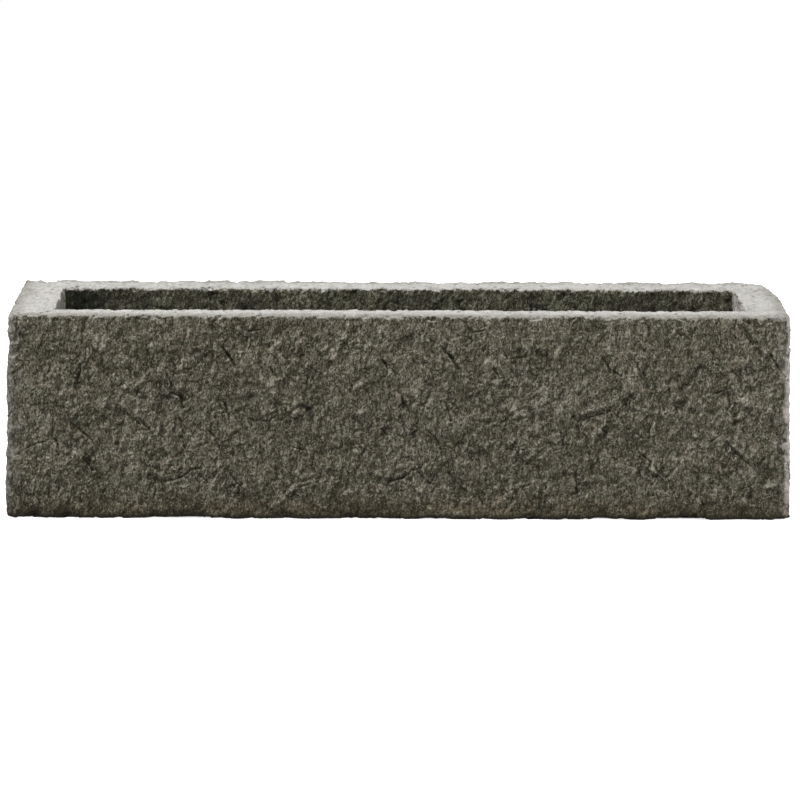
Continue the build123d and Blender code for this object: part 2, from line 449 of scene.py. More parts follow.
CUT_STROKE = ChiselStroke(0.75, (1.1, 1.6), (0.5, 1.2))
RAISED_STROKE = ChiselStroke(0.35, (2.4, 4.6), (0.8, 2.0))
RAISED_SHARE = 0.45
STROKE_COUNT = 54
# In millimetres
STROKE_HALF_LENGTH = (4, 12)
STROKE_BEND = 1.2
# In degrees from the level, and how far these spread
FALLING_SLANT = -56
RISING_SLANT = 52
SLANT_SPREAD = 16


def chisel_strokes(seed: int) -> list[Mark]:
    """Scatter short strokes over one repeat of the mould.

    Args:
        seed: Where the random draws start.

    Returns:
        The strokes, which come again along the whole of a side.
    """
    draw = np.random.default_rng(seed)
    strokes = []
    for _ in range(STROKE_COUNT):
        middle = draw.uniform(*MOULD_FIELD)
        raised = draw.random() < RAISED_SHARE
        kind = RAISED_STROKE if raised else CUT_STROKE
        falls = draw.random() < kind.falling
        slant = radians(draw.normal(FALLING_SLANT if falls else RISING_SLANT, SLANT_SPREAD))
        half = draw.uniform(*STROKE_HALF_LENGTH) * np.array((cos(slant), sin(slant)))
        depth = draw.uniform(*kind.depth)
        width = draw.uniform(*kind.width)
        bend = draw.normal(0, STROKE_BEND, 2)
        path = (tuple(middle - half), tuple(middle + bend), tuple(middle + half))
        strokes.append(Mark(path, width, -depth if raised else depth, ALL_PITCHES))
    return strokes


@dataclass(frozen=True)
class Arris:
    """An edge of the casting from start to end, with the way out of the stone at it.

    The rest is in millimetres. Bite is how deep it is broken, lump how far it bulges and even how
    far it is worn back all along. Spacing is how far apart the breaks are, and rounding the radius
    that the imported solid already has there.
    """

    start: tuple[float, float, float]
    end: tuple[float, float, float]
    out: tuple[float, float, float]
    bite: float
    spacing: float = 20.0
    rounding: float = RIM_ARRIS
    lump: float = 0.6
    even: float = 0.0


@dataclass(frozen=True)
class Form:
    """A form of the stone's relief: how wide it is, in metres, and how high, in millimetres."""

    size: float
    height: float


@dataclass
class StoneSkin:
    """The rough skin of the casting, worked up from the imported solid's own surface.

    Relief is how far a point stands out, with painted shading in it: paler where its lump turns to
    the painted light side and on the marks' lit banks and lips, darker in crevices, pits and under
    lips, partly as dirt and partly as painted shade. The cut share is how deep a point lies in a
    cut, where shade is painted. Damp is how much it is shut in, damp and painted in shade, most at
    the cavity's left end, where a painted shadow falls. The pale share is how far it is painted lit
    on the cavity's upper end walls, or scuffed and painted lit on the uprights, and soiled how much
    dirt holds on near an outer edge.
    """

    voxel: float = 2.0 * MM
    seed: int = 11
    broad: Form = Form(240 * MM, 0.6)
    swell: Form = Form(64 * MM, 1.0)
    flake: Form = Form(34 * MM, 1.0)
    chip: Form = Form(13 * MM, 0.65)
    crumble: Form = Form(14 * MM, 0.95)
    knob: Form = Form(8 * MM, 0.75)
    grit: Form = Form(4.6 * MM, 0.55)
    pit: Form = Form(11 * MM, 2.4)
    crevice: Form = Form(26 * MM, 1.6)
    creviced_patch: float = 34 * MM
    shiver: Form = Form(7 * MM, 0.6)
    ragged_edge: float = 10 * MM
    foot_sag: Form = Form(130 * MM, 9.0)
    points: np.ndarray = field(default_factory=lambda: np.zeros((0, 3)))
    normals: np.ndarray = field(default_factory=lambda: np.zeros((0, 3)))
    relief: np.ndarray = field(default_factory=lambda: np.zeros(0))
    painted_cut_shade: np.ndarray = field(default_factory=lambda: np.zeros(0))
    damp_and_painted_shade: np.ndarray = field(default_factory=lambda: np.zeros(0))
    painted_light_and_scuffs: np.ndarray = field(default_factory=lambda: np.zeros(0))
    soiled: np.ndarray = field(default_factory=lambda: np.zeros(0))

    def build(self, source: bpy.types.Object) -> bpy.types.Object:
        """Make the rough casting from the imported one.

        Args:
            source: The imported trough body.

        Returns:
            The dressed casting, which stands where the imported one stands.
        """
        noise = StoneNoise(self.seed)
        piece = self.remeshed(source)
        mesh = piece.data
        self.read(mesh)
        self.flatten(mesh)
        self.shade_zones(noise)
        self.wear_arrises(noise)
        self.write(mesh)
        self.read(mesh)
        self.weather(noise)
        even = self.normals
        self.write(mesh)
        self.read(mesh)
        # Painted shading: the relief gains where the roughened normal turns to the painted light
        turned = (self.normals - even) @ PAINTED_LIGHT_SIDE
        self.relief = OWN_RELIEF * self.relief + PAINTED_TURN_SHADE * turned
        for name in ZONES:
            layer = mesh.attributes.new(name, "FLOAT", "POINT")
            layer.data.foreach_set("value", getattr(self, name).astype(np.float32))
        mesh.shade_smooth()
        return piece

    def read(self, mesh: bpy.types.Mesh) -> None:
        """Take the places and normals of the mesh's points."""
        self.points = gathered(mesh.vertices, "co", 3).astype(np.float64)
        self.normals = gathered(mesh.vertices, "normal", 3).astype(np.float64)

    def write(self, mesh: bpy.types.Mesh) -> None:
        """Move the mesh's points to their places, none of them below the ground.

        Args:
            mesh: The casting's mesh.
        """
        self.points[:, 2] = np.maximum(self.points[:, 2], 0)
        mesh.vertices.foreach_set("co", self.points.astype(np.float32).ravel())
        mesh.update()

    def remeshed(self, source: bpy.types.Object) -> bpy.types.Object:
        """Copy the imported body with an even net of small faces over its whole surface.

        Args:
            source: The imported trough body.

        Returns:
            The copy.
        """
        piece = bpy.data.objects.new("hewn_trough", source.data.copy())
        bpy.context.scene.collection.objects.link(piece)
        net = piece.modifiers.new("net", "REMESH")
        net.mode = "VOXEL"
        net.voxel_size = self.voxel * 1
        settled = piece.evaluated_get(bpy.context.evaluated_depsgraph_get())
        mesh = bpy.data.meshes.new_from_object(settled)
        piece.modifiers.clear()
        piece.data = mesh
        mesh.materials.clear()
        self.refine(mesh)
        return piece

    def refine(self, mesh: bpy.types.Mesh) -> None:
        """Halve the net's faces along the mould's thin cuts, which would blur in the wider net.

        Args:
            mesh: The casting's mesh.
        """
        self.read(mesh)
        thin = [mark for mark in self.marks() if mark.depth >= 0 and mark.width <= THIN_CUT]
        chosen = np.zeros(len(self.points), dtype=bool)
        for (side, places), mark in itertools.product(self.outer_sides(), thin):
            for near, distance, _ in mark.touched(places, CUT_MARGIN):
                chosen[side[near[distance < CUT_MARGIN]]] = True
        ends = gathered(mesh.edges, "vertices", 2, np.int32)
        net = bmesh.new()
        net.from_mesh(mesh)
        net.edges.ensure_lookup_table()
        halved = [net.edges[place] for place in np.flatnonzero(chosen[ends].all(axis=1))]
        bmesh.ops.subdivide_edges(net, edges=halved, cuts=1, use_grid_fill=True)
        net.to_mesh(mesh)
        net.free()

    def outer_sides(self) -> list[tuple[np.ndarray, np.ndarray]]:
        """List the casting's four outer sides, all made in the same mould.

        Returns:
            For each side its points, and their millimetres along the mould and above the ground.
        """
        x, y, z = self.points.T
        right, back, _ = self.normals.T
        facings = (
            (-back, CAVITY_FRONT - y, x),
            (back, y - CAVITY_BACK, BACK_SHIFT - x),
            (-right, CAVITY_LEFT - x, LEFT_SHIFT - y),
            (right, x - CAVITY_RIGHT, RIGHT_SHIFT + y),
        )
        sides = []
        for facing, beyond, along in facings:
            side = np.flatnonzero((facing > SIDE_FACING) & (beyond > SIDE_DEPTH))
            sides.append((side, np.stack((along[side], z[side]), axis=1) / MM))
        return sides

    def marks(self) -> tuple[Mark, ...]:
        """List the mould's marks, those that the photograph shows first."""
        return (*FRONT_MARKS, *chisel_strokes(self.seed))

    def shade_zones(self, noise: StoneNoise) -> None:
        """Mark the damp and painted shade, the painted light and scuffs, and where dirt holds on.

        Args:
            noise: What the zones' edges are broken up with.
        """
        x, y, z = self.points.T
        patchy = noise.layers(self.points + 4.1, 26 * MM, 3) * 14 * MM
        within = in_cavity(self.points, 3 * MM, 6 * MM)

        # Painted light: the cavity's upper end walls, the right one most, as if lit from the left
        end_wall = within * eased(np.abs(self.normals[:, 0]), 0.86, 0.97)
        upper = eased(z + patchy * 2.2, HEIGHT - 78 * MM, HEIGHT - 36 * MM)
        self.painted_light_and_scuffs = np.where(x < 0, 0.4, 0.92) * end_wall * upper

        # The rest is damp and painted in shade up to the rim, least in a patch the mould repeats
        below_rim = 1 - eased(z + patchy * 0.35, HEIGHT - 7.5 * MM, HEIGHT - 4.5 * MM)
        turns = (x + patchy - DRY_PATCH_X) / (MOULD_PITCH * MM)
        from_patch = np.abs(turns - np.round(turns)) * MOULD_PITCH * MM
        dry_patch = 1 - eased(from_patch, 18 * MM, 66 * MM)
        # Painted shadow: the cavity's left end is darker, as if shaded by its left end wall
        left_end_shadow = 1 - eased(x + patchy, CAVITY_LEFT + 30 * MM, CAVITY_LEFT + 135 * MM)
        self.damp_and_painted_shade = within * below_rim * (1 - self.painted_light_and_scuffs)
        self.damp_and_painted_shade *= np.maximum(0.62 - 0.31 * dry_patch, left_end_shadow)

        # Painted highlight: the uprights, scuffed and painted paler as if lit
        self.painted_light_and_scuffs = np.maximum(self.painted_light_and_scuffs, self.scuffed_and_lit(noise, patchy) * ~within)
        inset = np.minimum(RIM_HALF_LENGTH - np.abs(x), RIM_HALF_DEPTH - np.abs(y))
        self.soiled = (1 - eased(inset + patchy * 0.7, 2 * MM, 34 * MM)) * ~within

    def scuffed_and_lit(self, noise: StoneNoise, patchy: np.ndarray) -> np.ndarray:
        """Find where the uprights are scuffed and painted lit, most of all the front right one.

        Args:
            noise: What the scuffs flake off by.
            patchy: A shift for each point, in metres, which makes their edge uneven.

        Returns:
            How far each point is scuffed and painted lit, 0 to 1.
        """
        x, y, _ = self.points.T
        flaking = noise.layers(self.points * UPRIGHT_DRAW + 8.8, 15 * MM, 3, 0.7)
        near = 1 - (HALF_DEPTH - np.abs(y)) / (54 * MM) + 0.75 * flaking + patchy / (40 * MM)
        turned = eased(np.abs(self.normals[:, 0]) + 0.3 * flaking, -0.06, 0.3)
        outer = eased(np.abs(x) + flaking * 8 * MM, HALF_LENGTH - 29 * MM, HALF_LENGTH - 15 * MM)
        # Painted highlight: the right uprights, the front one most, as if lit from the right
        upright = np.where(x > 0, np.where(y < 0, 1.0, 0.45), 0.4)
        return turned * outer * eased(near, 0.3, 0.85) * upright

    def bend(self, noise: StoneNoise, wave: float) -> np.ndarray:
        """Give a smooth wandering shift for each point, of about one unit each way."""
        parts = [noise.waves(self.points + shift, wave) for shift in (0.0, 1.3, 2.6)]
        return np.stack(parts, axis=1)

    def weather(self, noise: StoneNoise) -> None:
        """Move the skin in and out as stone that was cast rough and then weathered.

        Args:
            noise: What the relief is made from. The shifts in it keep its forms apart.
        """
        grained = self.points * UPRIGHT_DRAW
        wander = self.bend(noise, 40 * MM)
        bent = grained + wander * 9 * MM

        broad = noise.layers(self.points, self.broad.size, 2)
        swell = noise.layers(bent + 1.9, self.swell.size, 2)
        flake = noise.flakes(bent, self.flake.size, 1.2)
        chip = noise.flakes(bent + 3.1, self.chip.size, 1.0)
        crumble = noise.layers(grained + wander * 3 * MM, self.crumble.size, 2)
        knob = noise.waves(grained + 5.7, self.knob.size)
        grit = noise.waves(self.points + 9.1, self.grit.size)
        pit = self.pit.height * np.maximum(noise.waves(self.points + 7.7, self.pit.size) - 0.5, 0)
        seam = noise.waves(bent + 6.3, self.crevice.size) + 0.25 * knob
        broken = eased(noise.waves(self.points + 8.3, self.creviced_patch), -0.1, 0.35)
        crevice = np.exp(-((seam / 0.09) ** 2)) * broken

        fine = self.chip.height * chip + self.crumble.height * crumble
        fine += self.knob.height * knob + self.grit.height * grit
        coarse = self.swell.height * swell + self.flake.height * flake
        # The rim was trowelled, so it has little but knobs, grit and pits
        top = eased(self.normals[:, 2], 0.35, 0.8)
        height = self.broad.height * broad - pit
        height += (1 - 0.8 * top) * (coarse + fine - self.crevice.height * crevice)
        height += top * (0.35 * knob + self.grit.height * grit)
        # Relief: darker in crevices and pits, paler on higher flakes, partly dirt and partly
        # painted shade
        self.relief = fine - 1.3 * crevice - pit + 0.25 * flake
        self.painted_cut_shade = np.zeros(len(self.points))
        height += self.press_marks(noise, wander)
        self.move_out(height * self.roughness_left())
        self.sag_foot(noise)

    def move_out(self, height: np.ndarray) -> None:
        """Move the skin out by its relief, which fades at the ground and is shallow underneath.

        Args:
            height: How far each point moves, in millimetres.
        """
        under = eased(-self.normals[:, 2], 0.5, 0.9)
        height = np.clip(height, -0.4, 0) * under + height * (1 - under)
        height *= eased(self.points[:, 2] + 1 * MM, 0, 9 * MM) * (1 - under) + under
        self.points += self.normals * (height * MM)[:, None]

    def sag_foot(self, noise: StoneNoise) -> None:
        """Let the front's foot wander in and out along the ground.

        Args:
            noise: What it wanders by.
        """
        _, y, z = self.points.T
        along = noise.layers(self.points * (1, 0, 0) + 3.3, self.foot_sag.size, 3, 0.7)
        low = (1 - eased(z, 3 * MM, 24 * MM)) * (y < -0.9 * HALF_DEPTH)
        self.points[:, 1] += along * self.foot_sag.height * MM * low

    def roughness_left(self) -> np.ndarray:
        """Fade the relief out round the drains, where the flanges were bedded in smooth stone.

        Returns:
            The share of its relief that each point keeps.
        """
        x, y, z = self.points.T
        left = np.ones(len(self.points))
        for drain_x in DRAIN_XS:
            reach = np.hypot(x - drain_x, y - CAVITY_Y)
            bedded = eased(reach, FLANGE_RADIUS + 3 * MM, FLANGE_RADIUS + 22 * MM)
            left *= np.where(z < FLOOR_Z + 4 * MM, bedded, 1)
        return left

    def press_marks(self, noise: StoneNoise, wander: np.ndarray) -> np.ndarray:
        """Press the mould's marks into the outer sides.

        Args:
            noise: What the marks' edges are broken up with.
            wander: A wandering shift for each point, which keeps the marks from looking drawn.

        Returns:
            How far each point moves out of its side, in millimetres.
        """
        change = np.zeros(len(self.points))
        marks = self.marks()
        for side, places in self.outer_sides():
            points = self.points[side]
            shiver = [noise.waves(points + shift, self.shiver.size) for shift in (3.7, 4.9)]
            shiver = np.stack(shiver, axis=1) * self.shiver.height
            places = places + wander[side][:, (0, 2)] * 1.5 + shiver
            ragged = 0.95 + 0.5 * noise.waves(points + 2.9, self.ragged_edge)
            ragged = np.clip(ragged, 0.5, 1.25)
            for mark in marks:
                margin = MARK_WIDTHS * mark.width + MARK_MARGIN
                for near, distance, above in mark.touched(places, margin):
                    core, beside = mark.section(distance, above, ragged[near])
                    spots = side[near]
                    change[spots] -= mark.depth * (core - 0.3 * beside)
                    # Painted light and shade: a cut's lower bank is painted paler as a painted
                    # highlight, and a raised  lip is painted paler on top and darker under it
                    if mark.depth > 0:
                        painted_cut_shade = core * min(mark.depth, 1)
                        self.painted_cut_shade[spots] = np.maximum(self.painted_cut_shade[spots], painted_cut_shade)
                        self.relief[spots] += 0.8 * beside
                    else:
                        self.relief[spots] += 2.2 * core - 0.9 * beside
        return change

    def arrises(self) -> list[Arris]:
        """List the casting's worn edges.

        Returns:
            The edges of the rim, the cavity, the uprights and the foot, then the single corners.
        """
        left, front, back = -RIM_HALF_LENGTH, -RIM_HALF_DEPTH, RIM_HALF_DEPTH
        rim_front = (left, front, HEIGHT), (RIM_HALF_LENGTH, front, HEIGHT)
        rim_back = (left, back, HEIGHT), (RIM_HALF_LENGTH - WORN_DEPTH, back, HEIGHT)
        shoulder = (RIM_HALF_LENGTH, back - WORN_RUN, HEIGHT)
        in_front = (CAVITY_LEFT, CAVITY_FRONT, HEIGHT), (CAVITY_RIGHT, CAVITY_FRONT, HEIGHT)
        in_back = (CAVITY_LEFT, CAVITY_BACK, HEIGHT), (CAVITY_RIGHT, CAVITY_BACK, HEIGHT)
        foot_front = (-HALF_LENGTH, -HALF_DEPTH, 0), (HALF_LENGTH, -HALF_DEPTH, 0)
        foot_back = (-HALF_LENGTH, HALF_DEPTH, 0), (HALF_LENGTH, HALF_DEPTH, 0)
        worn_foot = (HALF_LENGTH - WORN_DEPTH, HALF_DEPTH, 0)
        inner = RIM_INNER_ARRIS

        def over(corner: tuple[float, float, float], rise: float) -> tuple[float, float, float]:
            """Give the place that is a rise over a corner, or under it."""
            return corner[0], corner[1], corner[2] + rise * MM

        return [
            Arris(*rim_front, (0, -1, 1), 3.6, 10, lump=1.6, even=0.9),
            Arris(*rim_back, (0, 0.6, 1), 4.6, 28, lump=2.8),
            Arris(rim_front[0], rim_back[0], (-1, 0, 1), 2.8, 14, lump=1.0),
            Arris(rim_front[1], shoulder, (1, 0, 1), 3.0, 14, lump=1.0),
            Arris(shoulder, rim_back[1], (1, 0, 1), 3.6, 14, lump=1.0, even=1.2),
            Arris(*in_front, (0, 1, 1), 2.4, 12, inner, 1.2),
            Arris(*in_back, (0, -1, 1), 4.4, 12, inner, 1.4),
            Arris(in_front[0], in_back[0], (1, 0, 1), 1.6, rounding=inner),
            Arris(in_front[1], in_back[1], (-1, 0, 1), 3.4, rounding=inner),
            Arris(foot_front[0], rim_front[0], (-1, -1, 0), 2.6, 14, 10, 1.6),
            Arris(foot_front[1], rim_front[1], (1, -1, 0), 4.2, 15, 12, 1.4),
            Arris(foot_back[0], rim_back[0], (-1, 1, 0), 2.8, 16, 13, 1.2),
            Arris(worn_foot, rim_back[1], (1, 1, 0), 3.0, rounding=26, even=6.0),
            Arris(*foot_front, (0, -1, -0.2), 9.0, 50, 7, 3),
            Arris(*foot_front, (0, -0.5, -1), 3.4, 12, FOOT_ARRIS, 0),
            Arris(*foot_back, (0, 1, -1), 2.6, 30, FOOT_ARRIS, 0),
            Arris(foot_front[0], foot_back[0], (-1, 0, -1), 2.6, 30, FOOT_ARRIS, 0),
            Arris(foot_front[1], foot_back[1], (1, 0, -1), 2.6, 30, FOOT_ARRIS, 0),
            Arris(foot_front[0], over(foot_front[0], 12), (-1, -0.5, -1), 2.0, even=6.0),
            Arris(foot_front[1], over(foot_front[1], 8), (1, -0.5, -1), 2.0, even=4.0),
            Arris(over(foot_front[0], 20), over(foot_front[0], 120), (-1, 0, 0), 0.4, even=-4.0,
                  rounding=34),
            Arris(over(foot_front[1], 14), over(foot_front[1], 60), (1, 0, 0), 0.4, even=-3.2,
                  rounding=30),
            Arris(over(rim_front[0], -14), rim_front[0], (-1, -0.5, 0.3), 1.0, even=3.4),
            Arris(over(rim_front[1], -10), rim_front[1], (1, -0.5, 0.6), 1.0, even=2.6),
        ]

    def wear_arrises(self, noise: StoneNoise) -> None:
        """Break the edges back in uneven bites, with a few lumps left standing.

        Args:
            noise: What the bites and lumps are made from.
        """
        wander = self.bend(noise, 15 * MM) * 4 * MM
        moved = np.zeros_like(self.points)
        for number, arris in enumerate(self.arrises()):
            gap = from_line(self.points, np.array(arris.start), np.array(arris.end))
            distance = np.linalg.norm(gap, axis=1)
            width = (arris.rounding + 10) * MM
            near = np.flatnonzero(distance < width)
            spots = self.points[near] + wander[near] + number * 0.7
            spacing = arris.spacing * MM
            broken = noise.flakes(spots, spacing, 0.8) + 0.8 * noise.waves(spots, spacing * 0.6)
            bite, lump = arris.bite * (broken - 0.2), arris.lump * np.minimum(broken, 0)
            amount = np.where(broken > 0.2, bite, lump) + arris.even
            fade = 1 - eased(distance[near], 0.45 * arris.rounding * MM, width)
            out = np.array(arris.out) / np.linalg.norm(arris.out)
            moved[near] -= out * (amount * fade * MM * 0.7)[:, None]
        self.points += moved

    def charted(self, mesh: bpy.types.Mesh) -> np.ndarray:
        """Tell which face of the casting each of the mesh's small faces belongs to.

        Args:
            mesh: The casting's mesh.

        Returns:
            The face's number for each small face.
        """
        middles = gathered(mesh.polygons, "center", 3)
        facing = gathered(mesh.polygons, "normal", 3)
        x, y, z = middles.T
        axis = np.abs(facing).argmax(axis=1)
        way = np.sign(facing[np.arange(len(facing)), axis])
        inside = in_cavity(middles, 4 * MM, 4 * MM)
        level = axis == 2
        chart = np.full(len(facing), Face.BASE.value)
        chart[level & (way > 0)] = Face.RIM.value
        chart[level & (way > 0) & (z < HEIGHT / 2)] = Face.FLOOR.value
        for across, towards, outer, inner in (
            (1, -1, Face.FRONT, Face.CAVITY_BACK),
            (1, 1, Face.BACK, Face.CAVITY_FRONT),
            (0, -1, Face.LEFT, Face.CAVITY_RIGHT),
            (0, 1, Face.RIGHT, Face.CAVITY_LEFT),
        ):
            turned = (axis == across) & (way == towards)
            chart[turned] = outer.value
            chart[turned & inside] = inner.value
        # The holes through the floor go with the base
        deep = (z < FLOOR_Z - 4 * MM) & (np.abs(x) < HALF_LENGTH - 60 * MM)
        deep &= np.abs(y) < HALF_DEPTH - 20 * MM
        chart[deep & ~level] = Face.BASE.value
        return chart

    def flatten(self, mesh: bpy.types.Mesh) -> None:
        """Lay the skin out flat, one sheet for each face, as the map that its colours go out on.

        Args:
            mesh: The casting's mesh.
        """
        chart = np.repeat(
            self.charted(mesh), gathered(mesh.polygons, "loop_total", 1, np.int32).ravel()
        )
        corners = self.points[gathered(mesh.loops, "vertex_index", 1, np.int32).ravel()]
        is_end = np.isin(chart, [face.value for face in END_FACES])
        is_level = np.isin(chart, [face.value for face in LEVEL_FACES])
        u = np.where(is_end, corners[:, 1], corners[:, 0])
        v = np.where(is_level, corners[:, 1], corners[:, 2])
        for across, column in zip((0, 2 * HALF_LENGTH + SHEET_GAP), SHEET_COLUMNS):
            up = 0.0
            for face in column:
                chosen = chart == face.value
                if chosen.any():
                    u[chosen] += across - u[chosen].min()
                    v[chosen] += up - v[chosen].min()
                up += (2 * HALF_DEPTH if face in LEVEL_FACES else HEIGHT) + SHEET_GAP
        span = max(u.max(), v.max()) * 1.01
        layer = mesh.uv_layers.new(name="OFBake")
        spread = np.stack((u, v), axis=1) / span
        layer.data.foreach_set("uv", spread.astype(np.float32).ravel())


Socket = bpy.types.NodeSocket
# The settings that many nodes share
SMOOTH = {"interpolation_type": "SMOOTHSTEP"}
MIXED = {"data_type": "RGBA"}
TINTED = {"data_type": "RGBA", "blend_type": "MULTIPLY"}
TIMES = {"operation": "MULTIPLY"}
TIMES_PLUS = {"operation": "MULTIPLY_ADD"}
PLUS = {"operation": "ADD"}
MINUS = {"operation": "SUBTRACT"}
LARGER = {"operation": "MAXIMUM"}


@dataclass
class NodeSheet:
    """The node tree of a material or a world, with one way to add a node."""

    owner: bpy.types.Material | bpy.types.World

    def __post_init__(self) -> None:
        """Empty the tree."""
        self.owner.use_nodes = True
        self.owner.node_tree.nodes.clear()

    def add(
        self,
        kind: str,
        *values: object,
        out: str = "",
        stops: tuple[tuple[float, str], ...] = (),
        **named: object,
    ) -> Socket | None:
        """Add a node with its settings and links.

        Args:
            kind: The node's type, without the words ShaderNode.
            *values: What its inputs get, in their order: a number, an sRGB hex colour or another
                node's output.
            out: Which of its outputs is given back, if not the first.
            stops: The places and sRGB hex colours of a colour ramp.
            **named: Its own settings, and inputs by their names, which start with a capital.

        Returns:
            The output, or None where the node has none.
        """
        tree = self.owner.node_tree
        node = tree.nodes.new(f"ShaderNode{kind}")
        for name, value in named.items():
            if name[0].islower():
                setattr(node, name, value)
        fed = [*zip((cell for cell in node.inputs if cell.enabled), values)]
        for name, value in named.items():
            if name[0].isupper():
                fed.append((node.inputs[name.replace("_", " ")], value))
        for cell, value in fed:
            if isinstance(value, Socket):
                tree.links.new(value, cell)
            else:
                cell.default_value = linear(value) if isinstance(value, str) else value
        if stops:
            elements = node.color_ramp.elements
            while len(elements) < len(stops):
                elements.new(0.5)
            for element, (place, colour) in zip(elements, stops):
                element.position, element.color = place, linear(colour)
        if out:
            return node.outputs[out]
        return next((cell for cell in node.outputs if cell.enabled), None)


@dataclass(frozen=True)
class StoneTones:
    """What the stone's colours are mixed by: where a point is, its zones and its patterns.

    Grain, grit, patch, blotch and fleck run from 0 to 1. Crease is 1 on a crease, and the painted
    emboss is over 0 on a grain's painted lit side and under 0 on its painted shaded side.
    """

    place: Socket
    relief: Socket
    painted_cut_shade: Socket
    damp_and_painted_shade: Socket
    painted_light_and_scuffs: Socket
    soiled: Socket
    grain: Socket
    grit: Socket
    crease: Socket
    patch: Socket
    blotch: Socket
    fleck: Socket
    painted_emboss: Socket


@dataclass(frozen=True)
class WeatheredCastStone:
    """Cast stone with a dark weathered skin, its binder washed back so that the aggregate shows.

    The eye gets a matt grey-brown with grains lighter and darker than it, and dirt and painted
    shade in the hollows and cuts. Each grain and lump is painted paler on its upper left side and
    darker on its lower right, a painted shading as if lit from the upper left. What faces the sky
    is bleached pale and painted paler still as if lit from above, the cavity is darkened as damp
    and as painted shade, and its upper end walls and the uprights are painted lit. Each pattern's
    size is a real one in millimetres. The grit is 2.2 mm where the real sand is about 0.5 mm,
    because finer than that it doesn't show.
    """

    name: str = "cast_stone_weathered"
    grain: float = 5.5 * MM
    fleck: float = 3.0 * MM
    patch: float = 70 * MM
    blotch: float = 24 * MM
    pore: float = 17 * MM
    crease: float = 10 * MM
    creased_patch: float = 19 * MM
    grit: float = 2.2 * MM
    speckle: float = 4 * MM
    streak: float = 12 * MM
    streaked_patch: float = 150 * MM
    painted_emboss_reach: float = 0.8 * MM
    stain_height: float = 50 * MM
    coarse_bump: float = 4.0 * MM
    fine_bump: float = 1.6 * MM
    roughness: float = 0.93

    def make(self) -> bpy.types.Material:
        """Build the material.

        Returns:
            The material.
        """
        sheet = NodeSheet(bpy.data.materials.new(self.name))
        tones = self.mixed_by(sheet)
        body = self.weathered_skin(sheet, tones)
        for coat in (self.shut_in, self.bleached_and_lit, self.stained):
            body = coat(sheet, tones, body)
        raised = sheet.add("Math", tones.crease, -0.16, tones.grain, **TIMES_PLUS)
        coarse = sheet.add("Bump", Strength=1.0, Distance=self.coarse_bump, Height=raised)
        fine = sheet.add("Bump", Strength=1.0, Distance=self.fine_bump, Height=tones.grit,
                         Normal=coarse)
        shader = sheet.add("BsdfPrincipled", Base_Color=body, Roughness=self.roughness, IOR=1.5,
                           Specular_IOR_Level=0.25, Normal=fine)
        sheet.add("OutputMaterial", Surface=shader)
        return sheet.owner

    def mixed_by(self, sheet: NodeSheet) -> StoneTones:
        """Read the skin's zones and lay out the stone's patterns.

        Args:
            sheet: The material's node tree.

        Returns:
            The zones and the patterns.
        """
        place = sheet.add("TexCoord", out="Object")
        drawn = sheet.add("VectorMath", place, UPRIGHT_DRAW, **TIMES)
        fleck = sheet.add("TexVoronoi", Vector=place, Scale=1 / self.fleck, out="Color")
        return StoneTones(
            place=place,
            **{name: sheet.add("Attribute", out="Fac", attribute_name=name) for name in ZONES},
            grain=self.grains(sheet, drawn),
            grit=sheet.add("TexNoise", Vector=drawn, Scale=1 / self.grit, Detail=2.0,
                           Roughness=0.7, Distortion=0.6),
            crease=self.creases(sheet, drawn),
            patch=sheet.add("TexNoise", Vector=place, Scale=1 / self.patch, Detail=4.0,
                            Roughness=0.55),
            blotch=sheet.add("TexNoise", Vector=place, Scale=1 / self.blotch, Detail=5.0,
                             Roughness=0.65),
            fleck=sheet.add("SeparateColor", fleck, out="Red"),
            painted_emboss=self.painted_emboss_side(sheet, drawn),
        )

    def grains(self, sheet: NodeSheet, place: Socket) -> Socket:
        """Lay out the grains of the aggregate, 0 to 1."""
        return sheet.add("TexNoise", Vector=place, Scale=1 / self.grain, Detail=4.0,
                         Roughness=0.68, Distortion=1.1)

    def creases(self, sheet: NodeSheet, place: Socket) -> Socket:
        """Draw the thin curled creases between the grains, which come and go.

        Args:
            sheet: The material's node tree.
            place: Where a point is, drawn out upright.

        Returns:
            1 on a crease and 0 off it.
        """
        curl = sheet.add("TexNoise", Vector=place, Scale=1 / self.crease, Detail=3.0,
                         Roughness=0.55, Distortion=0.7)
        apart = sheet.add("Math", sheet.add("Math", curl, 0.5, **MINUS), operation="ABSOLUTE")
        line = sheet.add("MapRange", apart, 0.004, 0.034, 1.0, 0.0, **SMOOTH)
        spread = sheet.add("TexNoise", Vector=place, Scale=1 / self.creased_patch, Detail=2.0,
                           Roughness=0.5)
        shown = sheet.add("MapRange", spread, 0.42, 0.58, **SMOOTH)
        return sheet.add("Math", line, shown, **TIMES)

    def painted_emboss_side(self, sheet: NodeSheet, place: Socket) -> Socket:
        """Paint shading on each grain: paler on its upper left side, darker on its lower right.

        Args:
            sheet: The material's node tree.
            place: Where a point is, drawn out upright.

        Returns:
            Over 0 on the painted lit side and under 0 on the painted shaded one.
        """
        shifts = (-self.painted_emboss_reach, self.painted_emboss_reach)
        steps = [(shift * -0.9, 0.0, shift * 0.45) for shift in shifts]
        sides = [sheet.add("VectorMath", place, step, **PLUS) for step in steps]
        return sheet.add("Math", *(self.grains(sheet, side) for side in sides), **MINUS)

